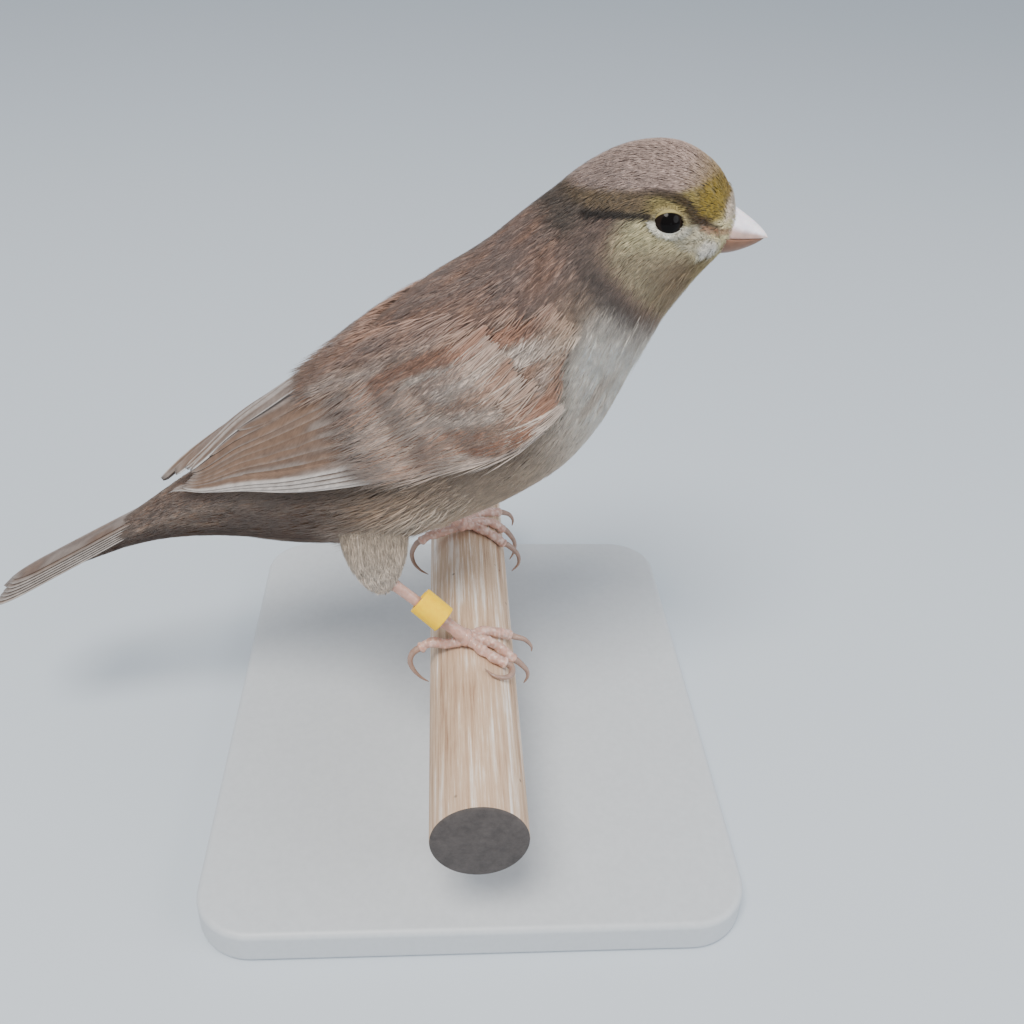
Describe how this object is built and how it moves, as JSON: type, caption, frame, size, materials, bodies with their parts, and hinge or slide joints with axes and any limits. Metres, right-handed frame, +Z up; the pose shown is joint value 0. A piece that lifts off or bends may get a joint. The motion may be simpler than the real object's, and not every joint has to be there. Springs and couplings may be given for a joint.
{
  "type": "canary",
  "caption": "Life-size model of a perched canary with a leg ring, on a cut length of wooden perch held by a flat display stand.",
  "frame": {"origin": "centre of the underside of the stand's base, on the floor", "axes": "+X the way the bird faces, +Y along the perch to the bird's left, +Z up"},
  "size_m": [0.1216, 0.1, 0.1076],
  "materials": {
    "body_feathers": "soft warm brown feathers with pale fringes",
    "head_feathers": "fine olive-yellow and grey-brown feathers",
    "flight_feathers": "smooth brown vanes with pale edges",
    "thigh_feathers": "loose off-white down",
    "horn": "smooth pinkish horn",
    "eye": "wet black",
    "leg_skin": "pink scaled skin",
    "ring_plastic": "plain yellow plastic",
    "perch_wood": "worn bare dowel with grey end grain",
    "stand_paint": "satin light grey paint",
    "rod_steel": "brushed"
  },
  "bodies": {
    "root": {"torso": "body_feathers", "rump": "body_feathers", "neck": "body_feathers", "head": "head_feathers", "bill_upper": "horn", "bill_lower": "horn", "eye_left": "eye", "eye_right": "eye", "wing_left": "flight_feathers", "wing_right": "flight_feathers", "tail": "flight_feathers", "thigh_left": "thigh_feathers", "thigh_right": "thigh_feathers", "tarsus_left": "leg_skin", "tarsus_right": "leg_skin", "foot_left": "leg_skin", "foot_right": "leg_skin", "leg_ring": "ring_plastic", "perch": "perch_wood", "stand_base": "stand_paint", "stand_rod_near": "rod_steel", "stand_rod_far": "rod_steel"}
  },
  "joints": []
}
